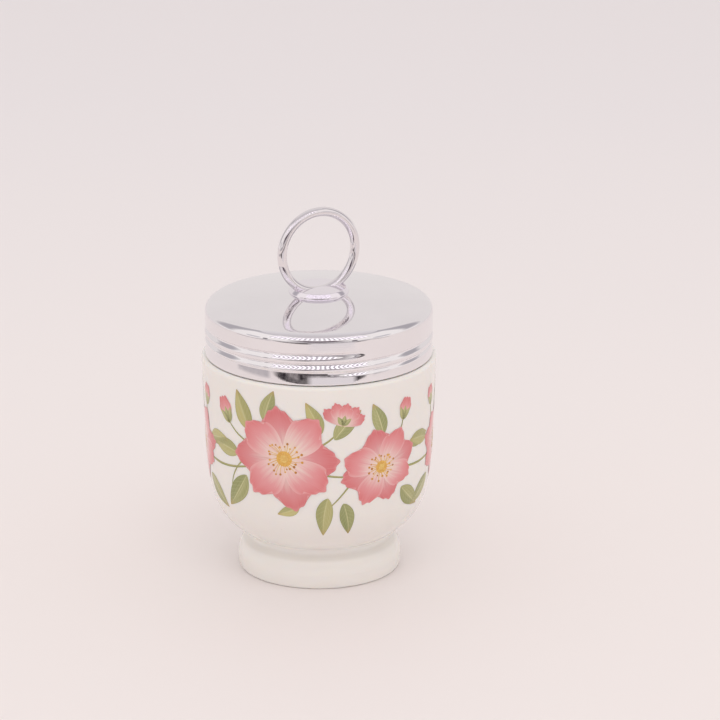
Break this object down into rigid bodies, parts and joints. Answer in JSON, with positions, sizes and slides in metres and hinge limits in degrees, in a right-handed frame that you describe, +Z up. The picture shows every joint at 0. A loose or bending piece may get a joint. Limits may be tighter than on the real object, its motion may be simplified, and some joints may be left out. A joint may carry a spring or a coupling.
{
  "type": "egg coddler",
  "caption": "Porcelain cup on a waisted hollow foot, closed by a screw-on pressed metal lid with a lifting ring, for cooking an egg in hot water.",
  "frame": {"origin": "centre of the foot's underside, on the surface that the cup stands on", "axes": "+Z up along the cup's axis, -Y towards the front, +X to the right seen from the front; the lifting ring's plane is turned 28 degrees from X"},
  "size_m": [0.0722, 0.0722, 0.1147],
  "materials": {
    "porcelain": "clear glaze over white porcelain, gloss",
    "plated_lid": "polished plate with fine wear",
    "plated_fittings": "polished plate",
    "rivet_steel": "satin"
  },
  "bodies": {
    "cup": {"cup": "porcelain"},
    "lid_rise": {"rivet": "rivet_steel"},
    "lid": {"lid_shell": "plated_lid", "ring_seat": "plated_fittings", "lifting_ring": "plated_fittings", "rivet_washer": "rivet_steel"}
  },
  "joints": [
    {"name": "lid_lift", "type": "slide", "parent": "cup", "child": "lid_rise", "axis": [0, 0, 1], "range_m": [0, 0.018]},
    {"name": "lid_turn", "type": "hinge", "parent": "lid_rise", "child": "lid", "pos_m": [0, 0, 0.08], "axis": [0, 0, 1], "range_deg": [0, 2160]}
  ],
  "couplings": [
    {"joint": "lid_lift", "follows": "lid_turn", "m_per_rad": 0.00047746}
  ]
}
